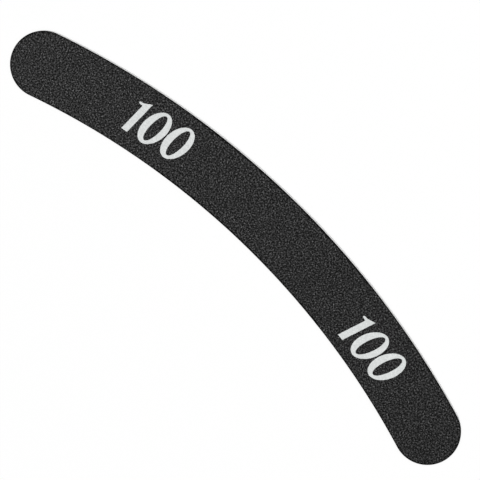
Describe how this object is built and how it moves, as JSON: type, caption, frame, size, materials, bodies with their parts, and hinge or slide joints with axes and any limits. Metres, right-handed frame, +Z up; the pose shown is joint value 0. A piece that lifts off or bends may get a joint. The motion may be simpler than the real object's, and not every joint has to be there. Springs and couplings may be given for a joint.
{
  "type": "nail file",
  "caption": "Curved two-sided nail file: a foam-padded strip with round ends and coarse black abrasive on both faces.",
  "frame": {"origin": "middle of the box round the part, at its base: the file lies on its back face", "axes": "+X along the file's length, the chord between its two ends; +Y towards the outer, convex edge of the arc; +Z up, out of the front face"},
  "size_m": [0.1804, 0.033, 0.004],
  "materials": {
    "core_board": "white polystyrene sheet, die cut",
    "glue": "clear pressure-sensitive adhesive film",
    "foam": "white closed-cell foam, matt",
    "paper": "black saturated backing paper",
    "grit": "black silicon carbide grain in resin, coarse",
    "ink": "pale grey screen-print ink, matt"
  },
  "bodies": {
    "root": {"core_board": "core_board", "front_core_glue": "glue", "front_foam": "foam", "front_paper_glue": "glue", "front_paper": "paper", "front_grit_coat": "grit", "front_left_one": "ink", "front_left_middle_zero": "ink", "front_left_last_zero": "ink", "front_right_one": "ink", "front_right_middle_zero": "ink", "front_right_last_zero": "ink", "back_core_glue": "glue", "back_foam": "foam", "back_paper_glue": "glue", "back_paper": "paper", "back_grit_coat": "grit", "back_left_one": "ink", "back_left_middle_zero": "ink", "back_left_last_zero": "ink", "back_right_one": "ink", "back_right_middle_zero": "ink", "back_right_last_zero": "ink"}
  },
  "joints": []
}
